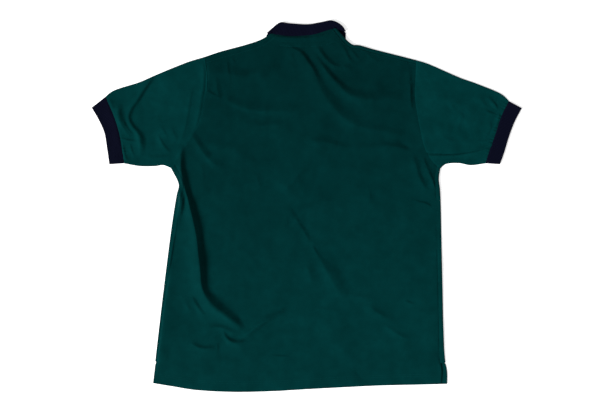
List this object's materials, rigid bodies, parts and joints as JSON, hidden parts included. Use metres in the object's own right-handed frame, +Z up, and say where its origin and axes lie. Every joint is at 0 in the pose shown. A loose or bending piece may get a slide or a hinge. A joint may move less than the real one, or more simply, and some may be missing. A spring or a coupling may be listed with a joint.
{
  "type": "polo shirt",
  "caption": "short-sleeved knitted polo shirt laid out flat with its back uppermost, rib collar and cuffs, folds over the side and shoulders",
  "frame": {"origin": "on the surface that the shirt lies on, under the middle of its outline", "axes": "+X to the right across the back as seen from above, +Y from the hem to the collar, +Z up out of the surface"},
  "size_m": [0.924, 0.7983, 0.0184],
  "materials": {
    "green_jersey": "soft brushed knit",
    "navy_rib": "flat-knitted rib",
    "button": "satin"
  },
  "bodies": {
    "root": {"front": "green_jersey", "back": "green_jersey", "sleeve_left": "green_jersey", "sleeve_right": "green_jersey", "placket_over": "green_jersey", "placket_under": "green_jersey", "cuff_left": "navy_rib", "cuff_right": "navy_rib", "collar": "navy_rib", "button_1": "button", "button_2": "button", "button_3": "button"}
  },
  "joints": []
}
